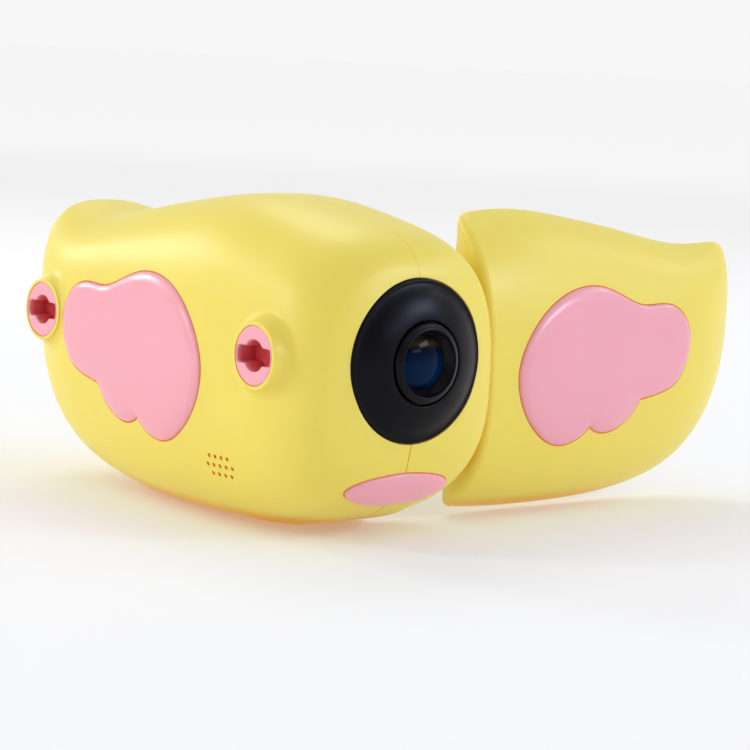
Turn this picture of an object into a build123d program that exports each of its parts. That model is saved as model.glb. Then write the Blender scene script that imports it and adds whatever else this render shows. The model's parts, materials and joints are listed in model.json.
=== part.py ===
from build123d import *
from math import asin, copysign, cos, hypot, pi, sin
import os

# A toy camcorder shaped like a small round bird, in millimetres.
# +Z is up, -Y is the way the lens looks and +X is the side of the flip-out screen.
# The origin is the middle of the flat foot. Along the body, places are given as a
# station, the distance behind the plane of the lens ring, and a height over the lens axis.
LENS_TO_ORIGIN = 50.0
LENS_HEIGHT = 37.4

# Whole bird: station, top, bottom, half width and height of the widest line.
SECTIONS = [
    (-0.6, 15.0, -16.0, 15.5, -1.0),
    (0.4, 18.5, -20.5, 19.0, -3.0),
    (3.0, 22.0, -26.5, 23.3, -5.5),
    (8.0, 24.6, -31.0, 26.2, -6.5),
    (20.0, 27.6, -35.6, 27.7, -8.0),
    (38.0, 30.0, -37.6, 28.0, -10.5),
    (58.0, 28.3, -37.8, 27.2, -11.0),
    (78.0, 24.6, -36.6, 26.0, -5.5),
    (94.0, 21.8, -32.3, 24.2, -0.5),
    (104.0, 22.6, -25.0, 20.5, 3.0),
    (111.0, 23.4, -13.5, 16.0, 5.0),
    (114.6, 21.5, -4.0, 12.0, 7.5),
]
# The panel's own tail is drawn in a little, with a fuller top corner.
PANEL_SECTIONS = SECTIONS[:-3] + [
    (104.0, 22.8, -25.5, 20.0, 3.0),
    (110.6, 24.4, -14.0, 15.0, 5.0),
    (113.4, 22.6, -4.5, 10.8, 7.5),
]
FULLNESS = 2.75          # power of the squared-off ellipse of each section
OUTLINE_STEPS = 14
WALL = 2.0

# Flat on the screen side and the flip-out panel
FLAT_X = 11.4
PANEL_X = 12.6
STEP_STATION = 24.3
PANEL_START = 24.6
PANEL_TURN = (22.5, 27.1)        # x where the end face starts to curve away, and its inner station
PANEL_EDGE = 1.8                 # rounding between the outside and the end face
BEZEL = 2.0
RIM_GAP = 0.15

# Hinge
HINGE_X = 20.0
HINGE_STATION = 16.4
BARREL_RADIUS = 7.9
SLOT_BOTTOM = -13.5
SLOT_TOP = 5.5
PLATE = 3.0
KNUCKLE_RADIUS = 5.0
KNUCKLE_GAP = 0.6
PIN_RADIUS = 1.5
PIN_CLEARANCE = 0.1
TONGUE_HALF = 2.5
TONGUE_END = 36.5
WASHER = 0.5

# Lens
RING_RADIUS = 16.5
RING_BASE = 1.3
RING_RISE = 3.7
RING_BORE = 8.7
BARREL_OUTER = 8.4
FRONT_WALL = 3.9
GLASS_RADIUS = 6.6

# Strap sockets: station, x of the face and height
SOCKETS = {"front": (14.1, -29.4, 0.4), "rear": (95.2, -26.1, 0.4)}
SOCKET_RADIUS = 6.0
SOCKET_DEPTH = 6.0
SOCKET_RIM = 0.8
SOCKET_BOSS = (7.5, 7.6) # depth of the boss and its radius there
SOCKET_BLEND = 3.0       # rounding where the boss grows out of the body
KEYHOLE_RADIUS = 3.15
KEYHOLE_SLOT = (10.8, 3.4)
KEYHOLE_DEPTH = 4.6

# Beak: station and height of its middle, half length and half height
BEAK = (3.3, -26.25, 13.25, 4.4)
BEAK_TILT = 37.5         # how far it looks down
BEAK_RISE = 0.9
BEAK_REACH = (-5.0, 9.0)         # how far its outline is drawn back and forward

# Parting line between the two halves: half width above and below the lens, and depth
SEAM_ABOVE = 0.03
SEAM_BELOW = 0.11
SEAM_DEPTH = 0.4

# Wing inlays
WING_DEPTH = 1.2
WING_RISE = 0.9
WING_CLEARANCE = 4.0     # how far out the wing pocket also trims the socket flare

# Speaker grille
GRILLE = {-21.85: 4, -23.7: 5, -25.55: 4}
GRILLE_STATION = 27.65
GRILLE_PITCH = 1.86
GRILLE_HOLE = 0.45

# Screws between the two shells: station and height
BODY_SCREWS = [(33.0, 20.0), (44.0, -29.5), (92.0, 14.0), (86.0, -28.5)]
BODY_JOIN_X = 4.0                # where the posts of the two halves meet
BODY_POST = (3.2, 3.5)           # radii of the right and left posts
BODY_SCREW = (2.5, 1.8, 1.3)     # head radius, head height and shank radius
BODY_SEAT = 1.6                  # plastic under the head
BODY_SCREW_END = -7.0
HOLE_SPARE = 1.0                 # how much deeper each screw hole is than the screw
HEAD_ROOM = 0.1                  # play round a head and its shank
# Screws of the screen panel, in its closed place
PANEL_SCREWS = [(35.0, 20.5), (35.0, -29.0), (99.0, 13.0), (94.5, -18.0)]
PANEL_POST = 2.6
PANEL_SEAT = 1.2                 # depth of the counterbores in the inner cover
HINGE_SCREWS = [(31.5, 1.0), (31.5, -9.0)]
HINGE_POST = 3.0
SMALL_SCREW = (1.9, 1.0, 1.0)    # head radius, head height and shank radius
PANEL_GRIP = 4.5                 # how far each small screw reaches beyond its seat
HINGE_GRIP = 6.5
CROSS = (1.1, 0.3, 0.7)          # half length, half width and depth of a cross recess

# Push buttons on the flat: station, height and radius
FLAT_BUTTONS = {
    "power_button": (86.0, 8.0, 3.0),
    "mode_button": (78.0, -6.0, 4.0),
    "ok_button": (62.0, -6.0, 5.0),
    "up_button": (62.0, 6.0, 3.6),
    "down_button": (62.0, -18.0, 3.6),
}
BUTTON_GAP = 0.3
BUTTON_PROUD = 0.8
BUTTON_TRAVEL = 0.6
BUTTON_ROUND = 0.5
FLANGE = (0.9, 0.9, 0.2)             # extra radius, thickness and play behind the wall
PLUNGER_RADIUS = 1.4
PLUNGER_GAP = 0.1
RECORD_BUTTON = (0.0, 14.0, 4.5)     # x, height and radius, on the tail
TAIL_STATION = SECTIONS[-1][0]

# Screen
WINDOW = (55.0, 42.0, 1.2)
WINDOW_CENTRE = (63.5, -5.0)
ACTIVE = (49.0, 36.8)
LCD = (51.5, 39.6, 2.4)

# Pieces inside the body
BOARD = 1.2
SWITCH_BOARD_X = 2.8
SWITCH_SIZE = 5.2
SWITCH_HEIGHT = 2.6
TAIL_SWITCH_HEIGHT = 3.2
TAIL_BOARD_STATION = 105.4
MAGNET = (100.0, 1.0, 3.0, 2.0)      # station, height, radius and thickness
SPEAKER = (28.5, -23.4, 7.5)         # station, height and radius
MICROPHONE = (36.0, 8.0, 3.0)
LIGHT = (86.0, -4.0, 1.0)
CARD_SLOT = ((96.9, 98.3), (-21.0, -9.4))
PORT = ((-4.0, 4.0), (2.0, 5.2))

BIG = 200.0


# ---------------------------------------------------------------- helpers

def y_of(station):
    return station - LENS_TO_ORIGIN


def z_of(height):
    return height + LENS_HEIGHT


def block(x, station, height):
    """Box between two values of x, of station and of height."""
    size = (x[1] - x[0], station[1] - station[0], height[1] - height[0])
    corner = (x[0], y_of(station[0]), z_of(height[0]))
    return Solid.make_box(*size, Plane(corner))


def rod_x(radius, x, station, height):
    """Cylinder along X between two values of x."""
    start = Plane((x[0], y_of(station), z_of(height)), z_dir=(1, 0, 0))
    return Solid.make_cylinder(radius, x[1] - x[0], start)


def rod_y(radius, station, x, height):
    """Cylinder along Y between two stations."""
    start = Plane((x, y_of(station[0]), z_of(height)), z_dir=(0, 1, 0))
    return Solid.make_cylinder(radius, station[1] - station[0], start)


def rod_z(radius, height, x, station):
    """Cylinder along Z between two heights."""
    start = Plane((x, y_of(station), z_of(height[0])))
    return Solid.make_cylinder(radius, height[1] - height[0], start)


def turned(profile):
    """Solid of revolution about the lens axis, from (radius, station) corners."""
    corners = [(radius, y_of(station), z_of(0)) for radius, station in profile]
    face = make_face(Polyline(*corners, close=True))
    return revolve(face, Axis((0, 0, z_of(0)), (0, 1, 0)), 360)


def upright(corners):
    """Tall prism over a plan outline given as (x, station) corners."""
    outline = [(x, y_of(station), -BIG) for x, station in corners]
    return extrude(make_face(Polyline(*outline, close=True)), 2 * BIG, dir=(0, 0, 1))


def mirrored(shape):
    return mirror(shape, Plane.YZ)


def opened(shape):
    """Turn a screen panel piece from its closed place to its open place."""
    return shape.rotate(Axis((HINGE_X, y_of(HINGE_STATION), 0), (0, 0, 1)), -90)


# ---------------------------------------------------------------- the bird's form

def half_outline(section, inset):
    """Closed half outline of one section, on the +X side."""
    station, top, bottom, half_width, widest = section
    points = []
    for step in range(OUTLINE_STEPS + 1):
        angle = pi / 2 - pi * step / OUTLINE_STEPS
        room = top - widest if angle > 0 else widest - bottom
        across = (half_width - inset) * abs(cos(angle)) ** (2 / FULLNESS)
        rise = copysign((room - inset) * abs(sin(angle)) ** (2 / FULLNESS), angle)
        points.append((across, y_of(station), z_of(widest + rise)))
    curve = Spline(*points, tangents=[(1, 0, 0), (-1, 0, 0)])
    return Wire([curve.edge(), Edge.make_line(points[-1], points[0])])


def left_form(inset, sections=SECTIONS):
    """Left half of the bird, shrunk all round by inset."""
    front, rear = sections[0][0], sections[-1][0]
    shrink = (rear - front - 2 * inset) / (rear - front)
    outlines = []
    for station, *sizes in sections:
        moved = front + inset + (station - front) * shrink
        outlines.append(half_outline((moved, *sizes), inset))
    return Solid.make_loft(outlines)


def foot_cut():
    return block((-BIG, BIG), (-BIG, BIG), (-BIG, -LENS_HEIGHT))


def head_plan(inset):
    """Plan of what is fixed on the screen side: head, hinge barrel and flat rear."""
    edge = STEP_STATION - inset
    flat = FLAT_X - inset
    plan = upright([(-1, -BIG), (BIG, -BIG), (BIG, HINGE_STATION), (HINGE_X, HINGE_STATION),
                    (HINGE_X, edge), (flat, edge), (flat, BIG), (-1, BIG)])
    barrel = rod_z(BARREL_RADIUS - inset, (-BIG, BIG), HINGE_X, HINGE_STATION)
    return plan + barrel


def end_arc(back):
    """Curve of the end face beside the hinge, from where it turns to x = back."""
    turn, inner = PANEL_TURN
    drop = inner - PANEL_START
    radius = ((turn - PANEL_X) ** 2 + drop ** 2) / (2 * drop)
    angle = asin((turn - back) / radius)
    points = []
    for part in (0, 0.5, 1):
        points.append((turn - radius * sin(part * angle), radius * (1 - cos(part * angle))))
    return points


def panel_plan(inset, back=PANEL_X):
    """Closed screen panel seen from above, as a tall prism."""
    start = PANEL_START + inset
    arc = [(x, y_of(start + offset), -BIG) for x, offset in end_arc(back)]
    rear = y_of(BIG)
    sides = Polyline(arc[-1], (back, rear, -BIG), (BIG, rear, -BIG), (BIG, y_of(start), -BIG), arc[0])
    return extrude(make_face([ThreePointArc(*arc), sides]), 2 * BIG, dir=(0, 0, 1))


def panel_form(inset, back=PANEL_X):
    """Closed screen panel, shrunk by inset."""
    return left_form(inset, PANEL_SECTIONS) & panel_plan(inset, back)


# ---------------------------------------------------------------- wings and beak

def wing_prism():
    """Tall prism along X over the wing outline: two curves of feathers meeting in notches."""
    large = [(55.6, -18.0), (51.5, -20.8), (45.5, -21.4), (38.9, -18.0), (34.1, -11.5),
             (33.0, -4.5), (35.8, 2.2), (43.5, 9.2), (52.0, 12.3), (60.0, 12.4), (66.5, 10.2),
             (72.0, 8.3), (77.0, 8.3), (82.0, 7.9), (86.0, 5.2), (87.8, 0.4), (87.0, -4.8),
             (84.0, -9.4), (78.5, -11.8), (71.9, -12.9)]
    small = [(71.9, -12.9), (68.0, -17.2), (64.0, -19.2), (59.5, -19.6), (55.6, -18.0)]
    curves = []
    for lobe in (large, small):
        curves.append(Spline(*[(0, y_of(station), z_of(height)) for station, height in lobe]))
    return extrude(make_face(curves), BIG, dir=(1, 0, 0))


def wing_inlay(skin, sections=SECTIONS):
    """Raised inlay that follows the skin, on the +X side."""
    return (left_form(-WING_RISE, sections) - skin) & wing_prism()


def beak_prism():
    """Oval prism that looks forward and down from under the lens."""
    station, height, half_length, half_height = BEAK
    tilt = BEAK_TILT * pi / 180
    outward = Vector(0, -cos(tilt), -sin(tilt))
    back, forward = BEAK_REACH
    base = Plane(Vector(0, y_of(station), z_of(height)) + outward * back, x_dir=(1, 0, 0), z_dir=outward)
    return extrude(base * Ellipse(half_length, half_height), forward - back, dir=outward)


def beak_inlay(skin):
    """Raised oval inlay that lies across the parting line and follows the skin."""
    raised = left_form(-BEAK_RISE)
    return (raised + mirrored(raised) - (skin + mirrored(skin))) & beak_prism()


def beak_pocket(skin):
    """Recess for the beak in the left half."""
    return beak_prism() - skin - mirrored(skin)


# ---------------------------------------------------------------- shells

def lens_seat():
    """Disc behind the ring, with the hole for the barrel."""
    return rod_y(RING_RADIUS + 2, (RING_BASE, FRONT_WALL), 0, 0)


def lens_cut():
    pocket = rod_y(RING_RADIUS + RIM_GAP, (-BIG, RING_BASE), 0, 0)
    hole = rod_y(BARREL_OUTER + RIM_GAP, (-BIG, BIG / 4), 0, 0)
    return pocket + hole


def seam_groove(form):
    """Fine groove along the parting line, wider under the lens."""
    core = left_form(SEAM_DEPTH)
    above = block((-SEAM_ABOVE, SEAM_ABOVE), (-BIG, BIG), (0, BIG))
    below = block((-SEAM_BELOW, SEAM_BELOW), (-BIG, BIG), (-BIG, 0))
    return (form + mirrored(form) - core - mirrored(core)) & (above + below)


def socket_boss(name):
    """Slightly tapered boss on the right side that holds one strap socket."""
    station, face, height = SOCKETS[name]
    rim = SOCKET_RADIUS + SOCKET_RIM
    reach, foot = SOCKET_BOSS
    edge = SOCKET_RIM / 2
    rounding = RadiusArc((rim - edge, 0), (rim, edge), -edge)
    sides = Polyline((rim, edge), (foot, reach), (0, reach), (0, 0), (rim - edge, 0))
    boss = revolve(make_face([rounding, sides]), Axis((0, 0, 0), (0, 1, 0)), 360)
    return Pos(face, y_of(station), z_of(height)) * Rot(0, 0, -90) * boss


def right_outside(form):
    """Outside of the right half, with both bosses blended into it."""
    outside = mirrored(form)
    for name, (station, face, height) in SOCKETS.items():
        outside += socket_boss(name)
        nearest, furthest = SOCKET_RADIUS + SOCKET_RIM, SOCKET_BOSS[1] + 2
        foot = []
        for edge in outside.edges():
            middle = edge @ 0.5
            away = hypot(middle.Y - y_of(station), middle.Z - z_of(height))
            if nearest < away < furthest and middle.X > face + SOCKET_RIM:
                foot.append(edge)
        outside = fillet(foot, SOCKET_BLEND)
    return outside


def socket_hole(name):
    station, face, height = SOCKETS[name]
    return rod_x(SOCKET_RADIUS, (face - 1, face + SOCKET_DEPTH), station, height)


def strap_socket(name):
    """Pink insert with a keyhole pocket for the strap's button."""
    station, face, height = SOCKETS[name]
    insert = rod_x(SOCKET_RADIUS, (face, face + SOCKET_DEPTH), station, height)
    insert = chamfer(insert.edges().group_by(Axis.X)[0], 0.4)
    pocket = rod_x(KEYHOLE_RADIUS, (face - 1, face + KEYHOLE_DEPTH), station, height)
    length, width = KEYHOLE_SLOT
    slot = block((face - 1, face + KEYHOLE_DEPTH), (station - length / 2, station + length / 2),
                 (height - width / 2, height + width / 2))
    return insert - pocket - slot


def grille_holes():
    holes = []
    for height, count in GRILLE.items():
        for number in range(count):
            station = GRILLE_STATION + (number - (count - 1) / 2) * GRILLE_PITCH
            holes.append(rod_x(GRILLE_HOLE, (-BIG, -10), station, height))
    return holes


def right_shell(form, inner, skin, groove):
    """Right half of the body, with sockets, grille, wing pocket and screw posts."""
    outer = right_outside(form)
    hollow = mirrored(inner)
    for name in SOCKETS:
        hollow -= socket_boss(name)
    shell = outer - hollow
    shell += lens_seat() & outer
    for station, height in BODY_SCREWS:
        shell += rod_x(BODY_POST[0], (-BIG, 0), station, height) & outer
        shell += rod_x(BODY_POST[0], (0, BODY_JOIN_X), station, height)
    shell -= mirrored((left_form(-WING_CLEARANCE) - skin) & wing_prism())
    for name in SOCKETS:
        shell -= socket_hole(name)
    for station, height in BODY_SCREWS:
        shell -= rod_x(BODY_SCREW[2], (BODY_SCREW_END - HOLE_SPARE, BODY_JOIN_X), station, height)
    for hole in grille_holes():
        shell -= hole
    return shell - lens_cut() - beak_pocket(skin) - groove - foot_cut()


def hinge_housing(form):
    """Solid corner round the hinge slot, between the two pin plates."""
    low, high = SLOT_BOTTOM - PLATE, SLOT_TOP + PLATE
    corner = block((HINGE_X - KNUCKLE_RADIUS - 2.2, BIG), (HINGE_STATION - KNUCKLE_RADIUS - 2.2, BIG),
                   (low, high))
    return corner & head_plan(0) & form


def hinge_slot():
    return block((HINGE_X - KNUCKLE_RADIUS - KNUCKLE_GAP, BIG),
                 (HINGE_STATION - KNUCKLE_RADIUS - KNUCKLE_GAP, STEP_STATION + 1),
                 (SLOT_BOTTOM, SLOT_TOP))


def button_hole(station, height, radius):
    return rod_x(radius + BUTTON_GAP, (FLAT_X - WALL - 0.5, FLAT_X + 1), station, height)


def left_shell(form, inner, skin, groove):
    """Left half of the body: head, hinge corner and the flat behind the panel."""
    outer = form & head_plan(0)
    shell = outer - (inner & head_plan(WALL))
    shell += lens_seat() & outer
    shell += hinge_housing(form)
    for station, height in BODY_SCREWS:
        shell += rod_x(BODY_POST[1], (BODY_JOIN_X, FLAT_X), station, height)
    shell -= hinge_slot()
    shell -= rod_z(PIN_RADIUS, (SLOT_BOTTOM - PLATE, SLOT_TOP + PLATE), HINGE_X, HINGE_STATION)
    head, _, shank = BODY_SCREW
    for station, height in BODY_SCREWS:
        shell -= rod_x(head + HEAD_ROOM, (BODY_JOIN_X + BODY_SEAT, FLAT_X + 1), station, height)
        shell -= rod_x(shank + HEAD_ROOM, (BODY_JOIN_X - 1, FLAT_X), station, height)
    for place in FLAT_BUTTONS.values():
        shell -= button_hole(*place)
    shell -= rod_x(0.6, (FLAT_X - 4, FLAT_X + 1), MICROPHONE[0], MICROPHONE[1])
    shell -= rod_x(LIGHT[2], (FLAT_X - 4, FLAT_X + 1), LIGHT[0], LIGHT[1])
    shell -= block((FLAT_X - 4, FLAT_X + 1), *CARD_SLOT)
    return shell - lens_cut() - beak_pocket(skin) - groove - foot_cut()


def tail_cuts():
    """Openings in the tail for the record button and the charging port."""
    x, height, radius = RECORD_BUTTON
    button = rod_y(radius + BUTTON_GAP, (TAIL_STATION - WALL - 1.5, TAIL_STATION + 2), x, height)
    port = block(PORT[0], (TAIL_STATION - WALL - 1.5, TAIL_STATION + 2), PORT[1])
    return button + port


# ---------------------------------------------------------------- lens

def lens_ring():
    """Black ring with a rounded lip and a gently domed slope up to the barrel."""
    foot = Polyline((RING_BORE, -RING_RISE + 0.3), (RING_BORE, RING_BASE), (RING_RADIUS, RING_BASE),
                    (RING_RADIUS, -0.2))
    lip = ThreePointArc((RING_RADIUS, -0.2), (16.2, -0.8), (15.5, -1.0))
    slope = ThreePointArc((15.5, -1.0), (12.4, -2.75), (9.0, -RING_RISE))
    inner = Line((9.0, -RING_RISE), (RING_BORE, -RING_RISE + 0.3))
    ring = revolve(make_face([foot, lip, slope, inner]), Axis((0, 0, 0), (0, 1, 0)), 360)
    return Pos(0, y_of(0), z_of(0)) * ring


def lens_barrel():
    """Tube inside the ring, with a bevel in front of the glass and a flange behind the wall."""
    return turned([(BARREL_OUTER, -4.0), (7.5, -4.2), (6.0, -2.6), (6.0, -1.8), (6.8, -1.8),
                   (6.8, 8.0), (BARREL_OUTER, 8.0), (BARREL_OUTER, 5.3), (12.0, 5.3),
                   (12.0, FRONT_WALL), (BARREL_OUTER, FRONT_WALL)])


def lens_cover_glass():
    return turned([(0, -1.8), (GLASS_RADIUS, -1.8), (GLASS_RADIUS, -0.6), (0, -0.6)])


def lens_carrier():
    return turned([(4.6, -0.5), (6.7, -0.5), (6.7, 8.0), (3.6, 8.0), (3.6, 1.2), (4.6, 1.2)])


def lens_element(radius, front, edge, bulge):
    """Plano-convex element: a disc with a domed front."""
    dome = ThreePointArc((0, front - bulge), (radius * 0.6, front - bulge * 0.66), (radius, front))
    sides = Polyline((radius, front), (radius, front + edge), (0, front + edge), (0, front - bulge))
    element = revolve(make_face([dome, sides]), Axis((0, 0, 0), (0, 1, 0)), 360)
    return Pos(0, y_of(0), z_of(0)) * element


def objective_lenses():
    return [lens_element(4.5, 0.4, 0.8, 0.7), lens_element(3.5, 3.6, 1.0, 0.5),
            lens_element(3.5, 6.2, 1.0, 0.4)]


def sensor_holder():
    body = block((-8.5, 8.5), (8.0, 11.5), (-8.5, 8.5))
    return body - rod_y(3.6, (7, 10.3), 0, 0) - block((-5, 5), (10.3, 12), (-5, 5))


def image_sensor():
    return block((-3.5, 3.5), (10.5, 11.5), (-3.5, 3.5))


def sensor_board():
    return block((-10, 10), (11.5, 11.5 + BOARD), (-10, 10))


# ---------------------------------------------------------------- electronics

def main_board():
    return block((-2.0, -0.8), (40, 88), (-24, 15))


def processor():
    return block((-0.8, 0.4), (48, 60), (-4, 8))


def battery():
    cell = block((-10, -3), (46, 86), (-22, 6))
    return fillet(cell.edges().filter_by(Axis.Z), 1.5)


def speaker():
    """Small round loudspeaker: basket, open cone and magnet."""
    station, height, radius = SPEAKER
    face = -16.2
    basket = rod_x(radius, (face, face + 3.2), station, height)
    basket -= rod_x(radius - 1.0, (face - 1, face + 0.8), station, height)
    return basket + rod_x(4.0, (face + 3.2, face + 5.6), station, height)


def microphone():
    station, height, radius = MICROPHONE
    return rod_x(radius, (FLAT_X - WALL - 2.2, FLAT_X - WALL), station, height)


def status_light():
    station, height, radius = LIGHT
    return rod_x(radius, (SWITCH_BOARD_X + BOARD, FLAT_X), station, height)


def card_socket():
    stations, heights = CARD_SLOT
    case = block((-4.6, FLAT_X - WALL), (stations[0] - 0.4, stations[1] + 0.4),
                 (heights[0] - 0.8, heights[1] + 0.8))
    return case - block((-4.0, FLAT_X), stations, heights)


def usb_port():
    x, height = PORT
    start = TAIL_BOARD_STATION + BOARD
    case = block((x[0] + 0.2, x[1] - 0.2), (start, TAIL_STATION - 0.6),
                 (height[0] + 0.1, height[1] - 0.1))
    cavity = block((x[0] + 0.5, x[1] - 0.5), (start + 1.5, TAIL_STATION), (height[0] + 0.4, height[1] - 0.4))
    tongue = block((-2.4, 2.4), (start, TAIL_STATION - 1.6), (3.2, 3.9))
    return case - cavity + tongue


def tail_board():
    return block((-7, 7), (TAIL_BOARD_STATION, TAIL_BOARD_STATION + BOARD), (-1, 19))


def switch_board():
    return block((SWITCH_BOARD_X, SWITCH_BOARD_X + BOARD), (54, 89), (-22, 11))


def tact_switches():
    """One square switch under each button."""
    half = SWITCH_SIZE / 2
    foot = SWITCH_BOARD_X + BOARD
    switches = []
    for station, height, _ in FLAT_BUTTONS.values():
        switches.append(block((foot, foot + SWITCH_HEIGHT), (station - half, station + half),
                              (height - half, height + half)))
    x, height, _ = RECORD_BUTTON
    foot = TAIL_BOARD_STATION + BOARD
    switches.append(block((x - half, x + half), (foot, foot + TAIL_SWITCH_HEIGHT),
                          (height - half, height + half)))
    return switches


def magnet(x):
    station, height, radius, thickness = MAGNET
    return rod_x(radius, (x, x + thickness), station, height)


# ---------------------------------------------------------------- buttons

def flat_button(station, height, radius):
    """Round cap with a flange behind the wall and a plunger over its switch."""
    wider, thickness, play = FLANGE
    flange_front = FLAT_X - WALL - play
    flange_back = flange_front - thickness
    cap = rod_x(radius, (flange_back, FLAT_X + BUTTON_PROUD), station, height)
    cap = fillet(cap.edges().group_by(Axis.X)[-1], BUTTON_ROUND)
    flange = rod_x(radius + wider, (flange_back, flange_front), station, height)
    plunger_end = SWITCH_BOARD_X + BOARD + SWITCH_HEIGHT + BUTTON_TRAVEL + PLUNGER_GAP
    return cap + flange + rod_x(PLUNGER_RADIUS, (plunger_end, flange_back), station, height)


def record_button():
    """The same kind of button in the tail, pressed forwards."""
    x, height, radius = RECORD_BUTTON
    wider, thickness, play = FLANGE
    flange_front = TAIL_STATION - WALL - play
    flange_back = flange_front - thickness
    cap = rod_y(radius, (flange_back, TAIL_STATION + BUTTON_PROUD), x, height)
    cap = fillet(cap.edges().group_by(Axis.Y)[-1], BUTTON_ROUND)
    flange = rod_y(radius + wider, (flange_back, flange_front), x, height)
    plunger_end = TAIL_BOARD_STATION + BOARD + TAIL_SWITCH_HEIGHT + BUTTON_TRAVEL + PLUNGER_GAP
    return cap + flange + rod_y(PLUNGER_RADIUS, (plunger_end, flange_back), x, height)


# ---------------------------------------------------------------- hinge

def hinge_arm():
    """Knuckle on the pin with the flat tongue that the panel is screwed to."""
    heights = (SLOT_BOTTOM + WASHER + 0.1, SLOT_TOP - WASHER - 0.1)
    arm = rod_z(KNUCKLE_RADIUS, heights, HINGE_X, HINGE_STATION)
    arm += block((HINGE_X - TONGUE_HALF, HINGE_X + TONGUE_HALF), (HINGE_STATION, TONGUE_END), heights)
    arm -= rod_z(PIN_RADIUS + PIN_CLEARANCE, (-BIG, BIG), HINGE_X, HINGE_STATION)
    for station, height in HINGE_SCREWS:
        arm -= rod_x(SMALL_SCREW[2], (0, BIG), station, height)
    return opened(arm)


def hinge_pin():
    return rod_z(PIN_RADIUS, (SLOT_BOTTOM - PLATE, SLOT_TOP + PLATE), HINGE_X, HINGE_STATION)


def hinge_washers():
    washers = []
    for low in (SLOT_BOTTOM, SLOT_TOP - WASHER):
        disc = rod_z(KNUCKLE_RADIUS - 0.5, (low, low + WASHER), HINGE_X, HINGE_STATION)
        washers.append(disc - rod_z(PIN_RADIUS, (low - 1, low + 1), HINGE_X, HINGE_STATION))
    return washers


# ---------------------------------------------------------------- screen panel

def window_block(size, x):
    station, height = WINDOW_CENTRE
    return block(x, (station - size[0] / 2, station + size[0] / 2),
                 (height - size[1] / 2, height + size[1] / 2))


def panel_outside():
    """Whole outside of the closed panel, with a soft edge round the hinge end."""
    outer = panel_form(0)
    rim = []
    for edge in outer.edges():
        middle = edge @ 0.5
        beside_hinge = middle.X > PANEL_X + 1 and middle.Y < y_of(PANEL_TURN[1])
        if beside_hinge and edge.geom_type != GeomType.LINE:
            rim.append(edge)
    return fillet(rim, PANEL_EDGE)


def panel_shell(skin):
    """Outer cover of the flip-out screen, modelled closed and then opened."""
    outer = panel_outside()
    shell = outer - panel_form(WALL, PANEL_X - 1)
    shank = SMALL_SCREW[2]
    for station, height in PANEL_SCREWS:
        shell += rod_x(PANEL_POST, (PANEL_X + BEZEL, BIG), station, height) & outer
    for station, height in HINGE_SCREWS:
        shell += rod_x(HINGE_POST, (HINGE_X + TONGUE_HALF, BIG), station, height) & outer
    shell -= (left_form(0, PANEL_SECTIONS) - skin) & wing_prism()
    for station, height in PANEL_SCREWS:
        shell -= rod_x(shank, (PANEL_X, PANEL_X + PANEL_SEAT + PANEL_GRIP + 0.3), station, height)
    for station, height in HINGE_SCREWS:
        shell -= rod_x(shank, (PANEL_X, HINGE_X - TONGUE_HALF + HINGE_GRIP + 0.5), station, height)
    shell -= block((HINGE_X - TONGUE_HALF - 0.4, HINGE_X + TONGUE_HALF + 0.4),
                   (PANEL_START - 1, PANEL_START + WALL + 3), (SLOT_BOTTOM, SLOT_TOP))
    return opened(shell)


def panel_bezel():
    """Inner cover around the screen, let into the rim of the outer cover."""
    gap = WALL + RIM_GAP
    plate = panel_form(gap) & block((PANEL_X, PANEL_X + BEZEL), (-BIG, BIG), (-BIG, BIG))
    plate -= window_block(WINDOW, (PANEL_X, PANEL_X + WINDOW[2]))
    plate -= window_block(ACTIVE, (PANEL_X, PANEL_X + BEZEL))
    head, _, shank = SMALL_SCREW
    for station, height in PANEL_SCREWS:
        plate -= rod_x(head + HEAD_ROOM, (PANEL_X, PANEL_X + PANEL_SEAT), station, height)
        plate -= rod_x(shank, (PANEL_X, PANEL_X + BEZEL), station, height)
    return opened(plate)


def screen_window():
    pane = window_block((WINDOW[0] - 0.2, WINDOW[1] - 0.2), (PANEL_X, PANEL_X + WINDOW[2]))
    return opened(fillet(pane.edges().filter_by(Axis.X), 0.6))


def lcd_module():
    back = PANEL_X + BEZEL
    return opened(window_block(LCD, (back, back + LCD[2])))


def screen_board():
    back = PANEL_X + BEZEL + LCD[2] + 0.2
    return opened(window_block((44, 32), (back, back + BOARD)))


# ---------------------------------------------------------------- screws

def screw(kind, seat, top, end, station, height):
    """Screw along X with a cross recess, its head between seat and top."""
    head_radius, _, shank_radius = kind
    long, narrow, depth = CROSS
    body = rod_x(head_radius, sorted((seat, top)), station, height)
    body += rod_x(shank_radius, sorted((seat, end)), station, height)
    floor = top - copysign(depth, top - seat)
    for wide, tall in ((long, narrow), (narrow, long)):
        body -= block(sorted((floor, top)), (station - wide, station + wide),
                      (height - tall, height + tall))
    return body


def body_screws():
    seat = BODY_JOIN_X + BODY_SEAT
    top = seat + BODY_SCREW[1]
    return [screw(BODY_SCREW, seat, top, BODY_SCREW_END, *place) for place in BODY_SCREWS]


def panel_screws():
    seat = PANEL_X + PANEL_SEAT
    top, end = seat - SMALL_SCREW[1], seat + PANEL_GRIP
    return [opened(screw(SMALL_SCREW, seat, top, end, *place)) for place in PANEL_SCREWS]


def hinge_screws():
    seat = HINGE_X - TONGUE_HALF
    top, end = seat - SMALL_SCREW[1], seat + HINGE_GRIP
    return [opened(screw(SMALL_SCREW, seat, top, end, *place)) for place in HINGE_SCREWS]


# ---------------------------------------------------------------- write out

def write(name, shape):
    """Write one node, as one solid or as a group of separate solids."""
    solids = []
    for piece in shape if isinstance(shape, list) else [shape]:
        solids.extend(piece.solids())
    export_step(solids[0] if len(solids) == 1 else Compound(children=solids), f"parts/{name}.step")


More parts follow.
